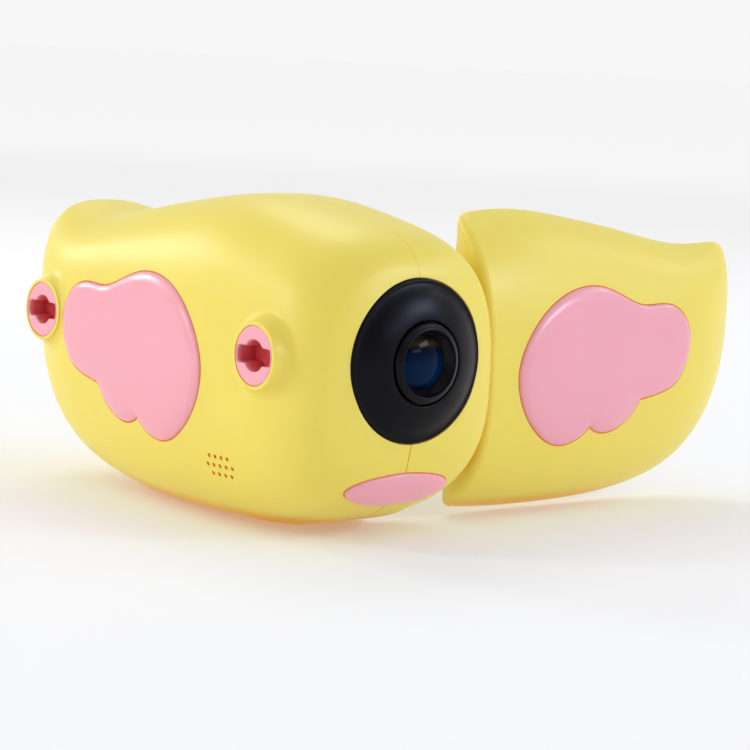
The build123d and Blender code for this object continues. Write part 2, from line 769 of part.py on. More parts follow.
def main():
    os.makedirs("parts", exist_ok=True)
    form, inner, skin = left_form(0), left_form(WALL), left_form(WING_DEPTH)
    panel_skin = left_form(WING_DEPTH, PANEL_SECTIONS)
    groove = seam_groove(form)
    cuts = tail_cuts()
    write("right_shell", right_shell(form, inner, skin, groove) - cuts)
    write("left_shell", left_shell(form, inner, skin, groove) - cuts)
    write("right_wing_inlay", mirrored(wing_inlay(skin)))
    for name in SOCKETS:
        write(f"{name}_strap_socket", strap_socket(name))
    write("beak_inlay", beak_inlay(skin))

    write("lens_ring", lens_ring())
    write("lens_barrel", lens_barrel())
    write("lens_cover_glass", lens_cover_glass())
    write("lens_carrier", lens_carrier())
    write("objective_lenses", objective_lenses())
    write("sensor_holder", sensor_holder())
    write("image_sensor", image_sensor())
    write("sensor_board", sensor_board())

    write("main_board", main_board())
    write("processor", processor())
    write("battery", battery())
    write("speaker", speaker())
    write("microphone", microphone())
    write("status_light", status_light())
    write("card_socket", card_socket())
    write("usb_port", usb_port())
    write("tail_board", tail_board())
    write("switch_board", switch_board())
    write("tact_switches", tact_switches())
    write("body_magnet", magnet(FLAT_X - WALL - MAGNET[3]))
    write("body_screws", body_screws())
    for name, place in FLAT_BUTTONS.items():
        write(name, flat_button(*place))
    write("record_button", record_button())

    write("hinge_pin", hinge_pin())
    write("hinge_washers", hinge_washers())
    write("hinge_arm", hinge_arm())
    write("hinge_screws", hinge_screws())
    write("panel_shell", panel_shell(panel_skin))
    write("panel_wing_inlay", opened(wing_inlay(panel_skin, PANEL_SECTIONS)))
    write("panel_bezel", panel_bezel())
    write("screen_window", screen_window())
    write("lcd_module", lcd_module())
    write("screen_board", screen_board())
    write("panel_magnet", opened(magnet(PANEL_X + BEZEL)))
    write("panel_screws", panel_screws())


if __name__ == "__main__":
    main()
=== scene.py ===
import json
from math import cos, hypot, pi, radians, sin, sqrt

import bmesh
import bpy
from mathutils import Euler, Matrix, Vector, kdtree


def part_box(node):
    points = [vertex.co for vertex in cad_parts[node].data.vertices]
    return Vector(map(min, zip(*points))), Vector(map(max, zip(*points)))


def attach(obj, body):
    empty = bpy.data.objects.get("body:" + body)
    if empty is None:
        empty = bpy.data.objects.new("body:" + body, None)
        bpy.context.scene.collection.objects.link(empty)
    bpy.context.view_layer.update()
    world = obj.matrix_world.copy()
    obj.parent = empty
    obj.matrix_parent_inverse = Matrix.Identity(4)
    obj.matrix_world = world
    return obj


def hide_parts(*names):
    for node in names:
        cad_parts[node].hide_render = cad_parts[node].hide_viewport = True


# A toy camcorder shaped like a small bird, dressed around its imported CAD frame.
# Everything is in metres. +Z is up, -Y is the way the lens looks and +X is the side
# of the flip-out screen, which is open at rest and looks towards +Y.

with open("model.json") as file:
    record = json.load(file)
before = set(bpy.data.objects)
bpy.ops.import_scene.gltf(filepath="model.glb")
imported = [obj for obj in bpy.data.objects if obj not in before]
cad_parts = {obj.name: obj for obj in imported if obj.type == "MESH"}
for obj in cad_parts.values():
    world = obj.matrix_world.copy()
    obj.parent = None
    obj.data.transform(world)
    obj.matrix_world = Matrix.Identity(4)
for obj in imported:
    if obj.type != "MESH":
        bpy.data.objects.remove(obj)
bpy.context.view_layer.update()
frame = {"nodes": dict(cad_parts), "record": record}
NODES = frame["nodes"]
MM = 0.001
CAMERA_SIDE = (-0.65, -0.76, 0.0)


def centre(node):
    low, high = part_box(node)
    return (Vector(low) + Vector(high)) / 2


# ---------------------------------------------------------------- materials

def linear(red, green, blue):
    """Linear colour from the usual 0 to 255 display values."""
    def channel(value):
        value /= 255
        return value / 12.92 if value <= 0.04045 else ((value + 0.055) / 1.055) ** 2.4
    return (channel(red), channel(green), channel(blue), 1.0)


def tone(colour, factor):
    """The colour made darker or lighter by a factor."""
    return tuple(channel * factor for channel in colour[:3]) + (1.0,)


OPENNESS_SAMPLES = 8
DEEP = (0.05, 0.3)       # share of open sky where a gap's painted glow is full, and where there is none


class Shader:
    """A principled material with short ways to add procedural detail."""

    def __init__(self, name, roughness=0.4, metallic=0.0):
        self.material = bpy.data.materials.new(name)
        self.material.use_nodes = True
        self.nodes = self.material.node_tree.nodes
        self.links = self.material.node_tree.links
        self.bsdf = self.nodes["Principled BSDF"]
        self.bsdf.inputs["Roughness"].default_value = roughness
        self.bsdf.inputs["Metallic"].default_value = metallic
        self.place = self.nodes.new("ShaderNodeTexCoord").outputs["Object"]

    def set(self, **sockets):
        for name, value in sockets.items():
            self.bsdf.inputs[name.replace("_", " ")].default_value = value
        return self

    def noise(self, scale, detail=2.0, stretch=None):
        node = self.nodes.new("ShaderNodeTexNoise")
        node.inputs["Scale"].default_value = scale
        node.inputs["Detail"].default_value = detail
        vector = self.place
        if stretch:
            mapping = self.nodes.new("ShaderNodeMapping")
            mapping.inputs["Scale"].default_value = stretch
            self.links.new(self.place, mapping.inputs["Vector"])
            vector = mapping.outputs["Vector"]
        self.links.new(vector, node.inputs["Vector"])
        return node.outputs["Fac"]

    def along(self, axis, start, end):
        """0 to 1 along one axis of the piece, between two places in metres."""
        split = self.nodes.new("ShaderNodeSeparateXYZ")
        self.links.new(self.place, split.inputs["Vector"])
        node = self.nodes.new("ShaderNodeMapRange")
        node.inputs["From Min"].default_value = start
        node.inputs["From Max"].default_value = end
        self.links.new(split.outputs[axis], node.inputs["Value"])
        return node.outputs["Result"]

    def distance(self, start, end, low, high):
        """low to high with the distance from the origin, between two distances in metres."""
        length = self.nodes.new("ShaderNodeVectorMath")
        length.operation = "LENGTH"
        self.links.new(self.place, length.inputs[0])
        node = self.nodes.new("ShaderNodeMapRange")
        node.inputs["From Min"].default_value = start
        node.inputs["From Max"].default_value = end
        node.inputs["To Min"].default_value = low
        node.inputs["To Max"].default_value = high
        self.links.new(length.outputs["Value"], node.inputs["Value"])
        return node.outputs["Result"]

    def ramp(self, factor, stops):
        node = self.nodes.new("ShaderNodeValToRGB")
        ramp = node.color_ramp
        while len(ramp.elements) < len(stops):
            ramp.elements.new(0.5)
        for element, (position, colour) in zip(ramp.elements, stops):
            element.position = position
            element.color = colour
        self.links.new(factor, node.inputs["Fac"])
        return node.outputs["Color"]

    def colour(self, factor, dark, light, low=0.3, high=0.7):
        self.links.new(self.ramp(factor, [(low, dark), (high, light)]), self.bsdf.inputs["Base Color"])
        return self

    def paint_crevice_light(self, colour, reach, start, end, glow):
        """Shift the base colour towards a warm painted colour in gaps narrower than reach, and give
        the deepest of them a painted glow.

        Both are painted light, standing in for light that passes through the translucent plastic and
        keeps its seams and grooves warm instead of black. The painted colour is whole where less than
        start of the sky is open, and none where end of it is."""
        # Painted light: occlusion picks the gaps that get the warm painted colour and the painted glow
        hidden = self.nodes.new("ShaderNodeAmbientOcclusion")
        hidden.samples = OPENNESS_SAMPLES
        hidden.inputs["Distance"].default_value = reach
        share = self.nodes.new("ShaderNodeMapRange")
        share.inputs["From Min"].default_value = start
        share.inputs["From Max"].default_value = end
        self.links.new(hidden.outputs["AO"], share.inputs["Value"])
        mix = self.nodes.new("ShaderNodeMix")
        mix.data_type = "RGBA"
        mix.inputs["A"].default_value = colour
        self.links.new(share.outputs["Result"], mix.inputs["Factor"])
        self.links.new(self.bsdf.inputs["Base Color"].links[0].from_socket, mix.inputs["B"])
        self.links.new(mix.outputs["Result"], self.bsdf.inputs["Base Color"])
        depth = self.nodes.new("ShaderNodeMapRange")
        depth.inputs["From Min"].default_value, depth.inputs["From Max"].default_value = DEEP
        depth.inputs["To Min"].default_value = glow
        depth.inputs["To Max"].default_value = 0.0
        self.links.new(hidden.outputs["AO"], depth.inputs["Value"])
        self.links.new(depth.outputs["Result"], self.bsdf.inputs["Emission Strength"])
        self.set(Emission_Color=colour)
        return self

    def rough(self, factor, low, high):
        node = self.nodes.new("ShaderNodeMapRange")
        node.inputs["To Min"].default_value = low
        node.inputs["To Max"].default_value = high
        self.links.new(factor, node.inputs["Value"])
        self.links.new(node.outputs["Result"], self.bsdf.inputs["Roughness"])
        return self

    def bump(self, factor, depth, strength=1.0):
        node = self.nodes.new("ShaderNodeBump")
        node.inputs["Strength"].default_value = strength
        node.inputs["Distance"].default_value = depth
        self.links.new(factor, node.inputs["Height"])
        self.links.new(node.outputs["Normal"], self.bsdf.inputs["Normal"])
        return self


def fall_off(nodes, links, place, span, low, high):
    """Value that goes from low to high over a span of reach towards the camera's side."""
    reach = nodes.new("ShaderNodeVectorMath")
    reach.operation = "DOT_PRODUCT"
    reach.inputs[1].default_value = CAMERA_SIDE
    links.new(place, reach.inputs[0])
    node = nodes.new("ShaderNodeMapRange")
    node.interpolation_type = "SMOOTHSTEP"
    node.inputs["From Min"].default_value, node.inputs["From Max"].default_value = span
    node.inputs["To Min"].default_value = low
    node.inputs["To Max"].default_value = high
    links.new(reach.outputs["Value"], node.inputs["Value"])
    return node.outputs["Result"]


def product(nodes, links, first, second):
    """First value times the second."""
    node = nodes.new("ShaderNodeMath")
    node.operation = "MULTIPLY"
    links.new(first, node.inputs[0])
    links.new(second, node.inputs[1])
    return node.outputs["Value"]


SCREEN_BORDER = 3.2 * MM
# Depth into the strap sockets over which their painted shade deepens
SOCKET_SHADE_DEPTH = 6.0 * MM
GLASS_RADIUS = 5.3 * MM
YELLOW = linear(240, 221, 96)
PINK = linear(244, 170, 183)
BLACK = (0, 0, 0, 1)
WHITE = (1, 1, 1, 1)


def moulded_plastic(name, colour, roughness, spread=0.02, grain=0.000006):
    """Injection-moulded plastic: faint tone drift, uneven polish and a very fine spark texture."""
    shader = Shader(name)
    shader.colour(shader.noise(35, 3), tone(colour, 1 - spread), tone(colour, 1 + spread * 0.3))
    shader.rough(shader.noise(160, 3), roughness - 0.03, roughness + 0.04)
    shader.bump(shader.noise(2600, 3), grain, 0.5)
    return shader


def glow_within(shader, radius, scale):
    """Let light travel a little way inside the plastic."""
    shader.set(Subsurface_Weight=0.25, Subsurface_Radius=radius, Subsurface_Scale=scale)
    return shader


def yellow_plastic():
    shader = moulded_plastic("yellow_plastic", YELLOW, 0.38)
    shader.set(Specular_IOR_Level=0.42)
    # Painted light: an orange colour and a faint painted glow in the seams, grooves and gaps
    shader.paint_crevice_light(linear(242, 178, 22), 5.0 * MM, 0.15, 0.92, 0.16)
    return glow_within(shader, (1.0, 0.62, 0.1), 0.8 * MM).material


def pink_plastic():
    shader = moulded_plastic("pink_plastic", PINK, 0.24)
    shader.set(Specular_IOR_Level=0.42)
    # Painted light: an orange-brown colour and a painted glow in the grooves and gaps round the inlays
    shader.paint_crevice_light(linear(222, 122, 70), 1.2 * MM, 0.35, 0.9, 0.32)
    return glow_within(shader, (1.0, 0.35, 0.3), 0.6 * MM).material


def socket_plastic_painted_shade():
    """The pink plastic of the strap sockets, with painted shade that turns it deep red deeper inside
    the keyhole.
    """
    shader = moulded_plastic("socket_plastic_painted_shade", PINK, 0.36)
    # Painted shade: the colour darkens from pink to deep red with depth into the keyhole
    depth = shader.along("X", 0.0, SOCKET_SHADE_DEPTH)
    stops = [(0.03, PINK), (0.08, linear(238, 152, 156)), (0.22, linear(228, 110, 116)),
             (0.7, linear(210, 74, 76))]
    shader.links.new(shader.ramp(depth, stops), shader.bsdf.inputs["Base Color"])
    return glow_within(shader, (1.0, 0.35, 0.3), 0.4 * MM).material


def black_satin(name, colour, roughness, sheen):
    """Fine-textured black plastic with a faint bluish bloom."""
    shader = moulded_plastic(name, colour, roughness, 0.08, 0.000004)
    shader.set(Specular_IOR_Level=sheen, Specular_Tint=(0.88, 0.86, 1.0, 1.0))
    return shader.material


def glass_with_painted_reflection():
    """Front element of the lens: deep blue, with painted shading by height and a painted olive
    reflection from its coating near the top.
    """
    shader = Shader("glass_with_painted_reflection", 0.05)
    height = shader.along("Z", -GLASS_RADIUS, GLASS_RADIUS)
    # Painted shading: dark at the bottom edge, bluest low down and darker towards the top
    blue = [(0.0, linear(1, 6, 12)), (0.14, linear(0, 32, 62)), (0.5, linear(1, 28, 58)),
            (0.76, linear(1, 14, 30))]
    # Painted reflection: an olive patch near the top, where the coating reflects light
    olive = [(0.87, linear(46, 42, 14)), (0.97, linear(12, 10, 10))]
    shader.links.new(shader.ramp(height, blue + olive), shader.bsdf.inputs["Base Color"])
    shader.rough(shader.noise(220, 2), 0.03, 0.06)
    shader.set(Specular_IOR_Level=0.045, IOR=1.5)
    return shader.material


def simple(name, colour, roughness, metallic=0.0, scale=500):
    """Small inner part: one colour with a slight drift in tone and polish."""
    shader = Shader(name, roughness, metallic)
    shader.colour(shader.noise(scale, 4), tone(colour, 0.85), tone(colour, 1.05))
    shader.rough(shader.noise(scale * 2, 2), roughness * 0.85, roughness * 1.15)
    return shader.material


def turned_steel():
    """Bright steel with fine marks round the thread and head."""
    shader = Shader("steel", 0.28, 1.0)
    shader.colour(shader.noise(900, 4), linear(168, 168, 172), linear(198, 198, 202))
    shader.rough(shader.noise(1500, 2, (1, 6, 6)), 0.2, 0.36)
    shader.bump(shader.noise(2400, 2, (1, 8, 8)), 0.000004, 0.5)
    return shader.material


def circuit_board():
    """Green solder mask with a pattern of darker tracks."""
    shader = Shader("circuit_board", 0.35)
    tracks = shader.nodes.new("ShaderNodeTexBrick")
    tracks.inputs["Scale"].default_value = 260
    tracks.inputs["Color1"].default_value = linear(28, 104, 60)
    tracks.inputs["Color2"].default_value = linear(34, 118, 70)
    tracks.inputs["Mortar"].default_value = linear(16, 74, 42)
    shader.links.new(shader.place, tracks.inputs["Vector"])
    shader.links.new(tracks.outputs["Color"], shader.bsdf.inputs["Base Color"])
    shader.bump(shader.noise(700, 3), 0.00001, 0.5)
    return shader.material


def screen_glass():
    """Black glass whose display area is a little lighter than its printed border."""
    shader = Shader("screen_glass", 0.06)
    low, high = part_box("screen_window")
    inside = None
    for axis, start, end in (("X", low.x, high.x), ("Z", low.z, high.z)):
        place = shader.along(axis, start, end)
        margin = SCREEN_BORDER / (end - start)
        stops = [(0.0, BLACK), (margin, BLACK), (margin + 0.004, WHITE),
                 (1 - margin - 0.004, WHITE), (1 - margin, BLACK)]
        stripe = shader.ramp(place, stops)
        if inside is None:
            inside = stripe
        else:
            inside = product(shader.nodes, shader.links, inside, stripe)
    shader.colour(inside, linear(9, 9, 11), linear(27, 29, 36), 0.0, 1.0)
    shader.rough(shader.noise(300, 2), 0.05, 0.08)
    return shader.material


MATERIALS = {
    "yellow_plastic": yellow_plastic(),
    "pink_plastic": pink_plastic(),
    "black_gloss": black_satin("black_gloss", linear(4, 4, 8), 0.3, 0.135),
    "black_satin": black_satin("black_satin", linear(9, 9, 12), 0.26, 0.14),
    "cover_glass": glass_with_painted_reflection(),
    "lens_glass": simple("lens_glass", linear(10, 25, 60), 0.05),
    "sensor_chip": simple("sensor_chip", linear(40, 40, 44), 0.4),
    "circuit_board": circuit_board(),
    "battery_wrap": simple("battery_wrap", linear(170, 175, 185), 0.35, 0.6),
    "steel": turned_steel(),
    "light_pipe": simple("light_pipe", linear(225, 240, 232), 0.2),
    "magnet_plating": simple("magnet_plating", linear(200, 200, 205), 0.2, 1.0),
    "button_plastic": moulded_plastic("button_plastic", linear(247, 168, 182), 0.38).material,
    "record_plastic": moulded_plastic("record_plastic", linear(222, 84, 96), 0.34).material,
    "print_ink": moulded_plastic("print_ink", linear(252, 246, 244), 0.5).material,
    "screen_glass": screen_glass(),
    "lcd_black": simple("lcd_black", linear(14, 14, 18), 0.2),
}
SLOTS = {entry["node"]: entry["material_slot"] for entry in frame["record"]["subparts"]}


def dress_cad_nodes():
    """Give every CAD node the material of its slot."""
    for name, node in NODES.items():
        node.data.materials.clear()
        node.data.materials.append(MATERIALS[SLOTS[name]])


# ---------------------------------------------------------------- mesh helpers

SHARP = radians(38)


def piece_from(name, mesh, body, slot, material=None, replaced=(), place=(0, 0, 0)):
    """Link a finished mesh as a piece that rides on a body."""
    piece = bpy.data.objects.new(name, mesh)
    piece.location = place
    bpy.context.scene.collection.objects.link(piece)
    mesh.materials.clear()
    mesh.materials.append(material or MATERIALS[slot])
    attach(piece, body)
    if replaced:
        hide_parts(*replaced)
    return piece


def finish_mesh(build, name):
    """Weld, shade smooth with crisp corners and return the mesh."""
    bmesh.ops.remove_doubles(build, verts=build.verts, dist=1e-7)
    bmesh.ops.recalc_face_normals(build, faces=build.faces)
    for face in build.faces:
        face.smooth = True
    for edge in build.edges:
        if len(edge.link_faces) == 2 and edge.calc_face_angle() > SHARP:
            edge.smooth = False
    mesh = bpy.data.meshes.new(name)
    build.to_mesh(mesh)
    build.free()
    return mesh


def rings_mesh(name, rings, closed_profile=False):
    """Mesh over rings of points with the same count, capped at both ends or closed on itself."""
    build = bmesh.new()
    made = [[build.verts.new(point) for point in ring] for ring in rings]
    pairs = list(zip(made, made[1:]))
    if closed_profile:
        pairs.append((made[-1], made[0]))
    for one, two in pairs:
        for index in range(len(one)):
            follow = (index + 1) % len(one)
            build.faces.new((one[index], one[follow], two[follow], two[index]))
    if not closed_profile:
        build.faces.new(made[0])
        build.faces.new(reversed(made[-1]))
    return finish_mesh(build, name)


ROUND = 128


def spun(name, profile, middle, closed_profile=True):
    """Solid of revolution about the lens axis from (radius, place along Y) in millimetres."""
    rings = []
    for radius, along in profile:
        ring = []
        for step in range(ROUND):
            angle = 2 * pi * step / ROUND
            ring.append(middle + Vector((radius * cos(angle), along, radius * sin(angle))) * MM)
        rings.append(ring)
    return rings_mesh(name, rings, closed_profile)


def arc(centre_point, radius, start, end, steps):
    """Points of a circular arc, angles in degrees from +X towards +Y."""
    points = []
    for step in range(steps + 1):
        angle = radians(start + (end - start) * step / steps)
        points.append((centre_point[0] + radius * cos(angle), centre_point[1] + radius * sin(angle)))
    return points


# ---------------------------------------------------------------- puffed inlays

WING_ROLL = 3.2 * MM
WING_DROP = 1.1 * MM
BEAK_TILT = radians(37.5)
BEAK_ROLL = 4.2 * MM
BEAK_DROP = 1.05 * MM
INLAY_THICKNESS = 2.1 * MM
INLAY_GAP = 0.18 * MM
VOXEL = 0.3 * MM
FRONT = 0.5              # a normal this far towards outward belongs to the outer surface
SIDE_WALL = 0.3          # a face whose normal has less of it than this is a side wall
RIM_STEP = 0.2 * MM
SMOOTH_PASSES = 4


def remeshed(source, voxel):
    """Even copy of a CAD solid's mesh."""
    helper = bpy.data.objects.new("helper", source.data.copy())
    bpy.context.scene.collection.objects.link(helper)
    modifier = helper.modifiers.new("even", "REMESH")
    modifier.mode = "VOXEL"
    modifier.voxel_size = voxel
    graph = bpy.context.evaluated_depsgraph_get()
    mesh = bpy.data.meshes.new_from_object(helper.evaluated_get(graph))
    bpy.data.objects.remove(helper)
    return mesh


def rim_tree(source, outward):
    """Search tree over the inlay's outline, flattened along outward."""
    points = []
    for face in source.data.polygons:
        if abs(face.normal.dot(outward)) > SIDE_WALL:
            continue
        corners = [source.data.vertices[index].co for index in face.vertices]
        for one, two in zip(corners, corners[1:] + corners[:1]):
            count = max(1, int((two - one).length / RIM_STEP))
            for step in range(count):
                point = one.lerp(two, step / count)
                points.append(point - outward * point.dot(outward))
    tree = kdtree.KDTree(len(points))
    for index, point in enumerate(points):
        tree.insert(point, index)
    tree.balance()
    return tree


def puffed_inlay(node, name, body, outward, roll, drop):
    """Pillow-like inlay: its outer surface rolls over towards its outline.

    It drops by drop at the outline, over the last roll of the way, and its walls stand
    back from the pocket by INLAY_GAP."""
    source = NODES[node]
    outward = Vector(outward).normalized()
    rim = rim_tree(source, outward)
    mesh = remeshed(source, VOXEL)
    build = bmesh.new()
    build.from_mesh(mesh)
    build.normal_update()
    bpy.data.meshes.remove(mesh)
    reach, facing = {}, {}
    edge_points = []
    for vertex in build.verts:
        height = vertex.co.dot(outward)
        flat = vertex.co - outward * height
        reach[vertex] = rim.find(flat)[2]
        facing[vertex] = vertex.normal.dot(outward)
        if facing[vertex] > FRONT and reach[vertex] < 3 * VOXEL:
            edge_points.append((flat, height))
    tops = kdtree.KDTree(len(edge_points))
    for index, (flat, _) in enumerate(edge_points):
        tops.insert(flat, index)
    tops.balance()
    for vertex in build.verts:
        height = vertex.co.dot(outward)
        flat = vertex.co - outward * height
        if facing[vertex] > FRONT:
            part = max(0.0, 1 - reach[vertex] / roll)
            lower = drop * (1 - sqrt(max(0.0, 1 - part * part)))
        elif facing[vertex] > -FRONT:
            top = edge_points[tops.find(flat)[1]][1]
            below = max(0.0, top - height)
            lower = drop * max(0.0, 1 - below / INLAY_THICKNESS)
            sideways = vertex.normal - outward * facing[vertex]
            flat = flat - sideways * INLAY_GAP
        else:
            lower = 0.0
        vertex.co = flat + outward * (height - lower)
    for _ in range(SMOOTH_PASSES):
        bmesh.ops.smooth_vert(build, verts=build.verts, factor=0.5, use_axis_x=True,
                              use_axis_y=True, use_axis_z=True)
    return piece_from(name, finish_mesh(build, name), body, SLOTS[node], replaced=[node])


def inlays():
    """The two wings and the beak, which faces forwards and down."""
    wing = (WING_ROLL, WING_DROP)
    puffed_inlay("right_wing_inlay", "right_wing", "body", (-1, 0, 0), *wing)
    puffed_inlay("panel_wing_inlay", "panel_wing", "screen_panel", (0, -1, 0), *wing)
    down = (0, -cos(BEAK_TILT), -sin(BEAK_TILT))
    puffed_inlay("beak_inlay", "beak", "body", down, BEAK_ROLL, BEAK_DROP)


# ---------------------------------------------------------------- strap sockets

# In millimetres, with depths measured in from the face
SOCKET_RADIUS = 6.0
SOCKET_BACK = 5.9
SOCKET_ROUND = 0.45
SOCKET_PLAY = 0.02
KEYHOLE_RADIUS = 3.15
SLOT_REACH = 5.3
SLOT_HALF_WIDTH = 1.72
LIP = 0.35
LIP_STEPS = 5
KEYHOLE_TAPER = ((1.2, 0.05), (2.4, 0.1), (4.4, 0.2))    # depth and how far it has narrowed
SOCKET_STEPS = 180


def keyhole(grow):
    """Outline of the keyhole as distances from its middle: a round hole with a slot across it."""
    sharp = []
    for step in range(SOCKET_STEPS):
        angle = 2 * pi * step / SOCKET_STEPS
        across = (SLOT_HALF_WIDTH + grow) / max(abs(sin(angle)), 1e-6)
        sharp.append(max(KEYHOLE_RADIUS + grow, min(SLOT_REACH + grow, across)))
    soft = []
    for step in range(SOCKET_STEPS):
        near = [sharp[(step + offset) % SOCKET_STEPS] for offset in (-2, -1, 0, 1, 2)]
        soft.append(sum(near) / len(near))
    return soft


def strap_socket(node, material):
    """Round insert with a keyhole that has a rounded lip."""
    low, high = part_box(node)
    face = Vector((low.x, (low.y + high.y) / 2, (low.z + high.z) / 2))

    def ring(reaches, depth):
        points = []
        for step, reach in enumerate(reaches):
            angle = 2 * pi * step / SOCKET_STEPS
            points.append(Vector((depth, reach * cos(angle), reach * sin(angle))) * MM)
        return points

    def plain(radius):
        return [radius] * SOCKET_STEPS

    rings = [ring(plain(SOCKET_RADIUS - SOCKET_PLAY), SOCKET_BACK)]
    rounding = (SOCKET_RADIUS - SOCKET_PLAY - SOCKET_ROUND, SOCKET_ROUND)
    for radius, depth in arc(rounding, SOCKET_ROUND, 0, -90, 5):
        rings.append(ring(plain(radius), depth))
    outer = SOCKET_RADIUS - 0.5
    for part in (0.35, 0.7):
        rings.append(ring([outer + (reach - outer) * part for reach in keyhole(LIP)], 0.0))
    for step in range(LIP_STEPS + 1):
        angle = pi / 2 * step / LIP_STEPS
        rings.append(ring(keyhole(LIP * (1 - sin(angle))), LIP * (1 - cos(angle))))
    for depth, inward in KEYHOLE_TAPER:
        rings.append(ring(keyhole(-inward), depth))
    mesh = rings_mesh(node + "_insert", rings)
    piece_from(node + "_insert", mesh, "body", SLOTS[node], material, [node], face)


def strap_sockets():
    material = socket_plastic_painted_shade()
    for node in ("front_strap_socket", "rear_strap_socket"):
        strap_socket(node, material)


# ---------------------------------------------------------------- lens

RING_RISE = 3.7 * MM                     # how far the ring stands out from its rim's plane
DOME_RIM = 5.6
DOME_CURVE = 11.0
DOME_EDGE = -2.3
DOME_STEPS = 15
DOME_TIP = 14.3                          # steps to the middle, so the last ring stays open


def lens_middle():
    """Middle of the lens ring's rim."""
    low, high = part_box("lens_ring")
    return Vector(((low.x + high.x) / 2, low.y + RING_RISE, (low.z + high.z) / 2))


def lens():
    """Ring, barrel and front element with their real lips, grooves and bevels.

    Profiles are (radius, place along Y) in millimetres from the middle of the ring's rim."""
    middle = lens_middle()
    lip = [(16.5, 1.3), (16.5, -0.25)] + arc((16.0, -0.35), 0.5, 0, -110, 8)
    slope = [(15.3, -0.95), (14.0, -1.78), (12.6, -2.5), (11.0, -3.12), (9.6, -3.55)]
    inner = arc((8.85, -3.3), 0.4, -70, -180, 6) + [(8.42, -2.6), (8.4, 1.3)]
    ring = spun("lens_surround", lip + slope + inner, middle)
    piece_from("lens_surround", ring, "body", "black_gloss", replaced=["lens_ring"])
    outside = [(8.1, 5.0), (8.1, -3.3)] + arc((7.4, -3.55), 0.7, 0, -75, 7)
    rim = [(7.2, -4.42)] + arc((6.86, -4.36), 0.24, -70, -180, 6)
    bevel = [(6.3, -3.95), (5.75, -3.1), (5.45, -2.7)] + arc((5.5, -2.4), 0.2, -135, -180, 3)
    back = [(5.3, -1.8), (6.9, -1.8), (6.9, 5.0)]
    tube = spun("lens_tube", outside + rim + bevel + back, middle)
    piece_from("lens_tube", tube, "body", "black_satin", replaced=["lens_barrel"])
    dome = [(DOME_RIM, DOME_EDGE + 0.5)]
    for step in range(DOME_STEPS):
        radius = DOME_RIM * (1 - step / DOME_TIP)
        rise = sqrt(DOME_CURVE ** 2 - radius ** 2) - sqrt(DOME_CURVE ** 2 - DOME_RIM ** 2)
        dome.append((radius, DOME_EDGE - rise))
    element = spun("front_element", dome, Vector((0, 0, 0)), False)
    piece_from("front_element", element, "body", "cover_glass", None, ["lens_cover_glass"], middle)


# ---------------------------------------------------------------- button symbols

INK_TOP = 0.05 * MM                      # over the cap
INK_ROOT = -0.1 * MM                     # inside it
MARK_STEPS = 48


def band(radius, half_width, start=0, end=360):
    """Outer and inner side of a flat ring, or of a part of one between two angles."""
    middle = (0.0, 0.0)
    outer = arc(middle, radius + half_width, start, end, MARK_STEPS)
    return outer, arc(middle, radius - half_width, start, end, MARK_STEPS)


def bar(width, height, up=0.0):
    """Right and left side of an upright rectangle."""
    low, high = up - height / 2, up + height / 2
    return [(width / 2, low), (width / 2, high)], [(-width / 2, low), (-width / 2, high)]


def arrow(size, upward):
    """Right and left side of a triangle that points up or down."""
    tip = size * 0.62 * upward
    base = -size * 0.5 * upward
    return [(0.0, tip), (size * 0.72, base)], [(0.0, tip), (-size * 0.72, base)]


def symbol(name, button, shapes):
    """A printed mark on a button's cap, made of strips between two facing sides each."""
    low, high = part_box(button)
    backwards = button == "record_button"
    build = bmesh.new()

    def corner(point, level):
        across, up = point[0] * MM, point[1] * MM
        if backwards:
            return build.verts.new((-across, level, up))
        return build.verts.new((level, across, up))

    for outer, inner in shapes:
        top = [[corner(point, INK_TOP) for point in side] for side in (outer, inner)]
        root = [[corner(point, INK_ROOT) for point in side] for side in (outer, inner)]
        last = len(outer) - 1
        for step in range(last):
            build.faces.new((top[0][step], top[0][step + 1], top[1][step + 1], top[1][step]))
            build.faces.new((root[0][step], root[1][step], root[1][step + 1], root[0][step + 1]))
            build.faces.new((top[0][step], root[0][step], root[0][step + 1], top[0][step + 1]))
            build.faces.new((top[1][step], top[1][step + 1], root[1][step + 1], root[1][step]))
        whole_turn = hypot(outer[0][0] - outer[last][0], outer[0][1] - outer[last][1]) < 1e-6
        for end in () if whole_turn else (0, last):
            build.faces.new((top[0][end], top[1][end], root[1][end], root[0][end]))
    bmesh.ops.remove_doubles(build, verts=build.verts, dist=1e-6)
    bmesh.ops.dissolve_degenerate(build, edges=build.edges, dist=1e-7)
    if backwards:
        place = ((low.x + high.x) / 2, high.y, (low.z + high.z) / 2)
    else:
        place = (high.x, (low.y + high.y) / 2, (low.z + high.z) / 2)
    ink = MATERIALS["print_ink"]
    piece_from(name, finish_mesh(build, name), button, "light_pipe", ink, place=place)


def button_symbols():
    """Plain marks on the caps: arrows, a circle, three bars, a power mark and a dot."""
    symbol("up_symbol", "up_button", [arrow(1.7, 1)])
    symbol("down_symbol", "down_button", [arrow(1.7, -1)])
    symbol("ok_symbol", "ok_button", [band(2.3, 0.28)])
    symbol("mode_symbol", "mode_button", [bar(3.2, 0.5, up) for up in (1.1, 0.0, -1.1)])
    symbol("power_symbol", "power_button", [band(1.35, 0.22, 125, 415), bar(0.44, 1.5, 1.0)])
    symbol("record_symbol", "record_button", [band(0.85, 0.85)])


# ---------------------------------------------------------------- studio

FLOOR_RADIUS = 30.0
FLOOR_NEAR = linear(230, 230, 230)
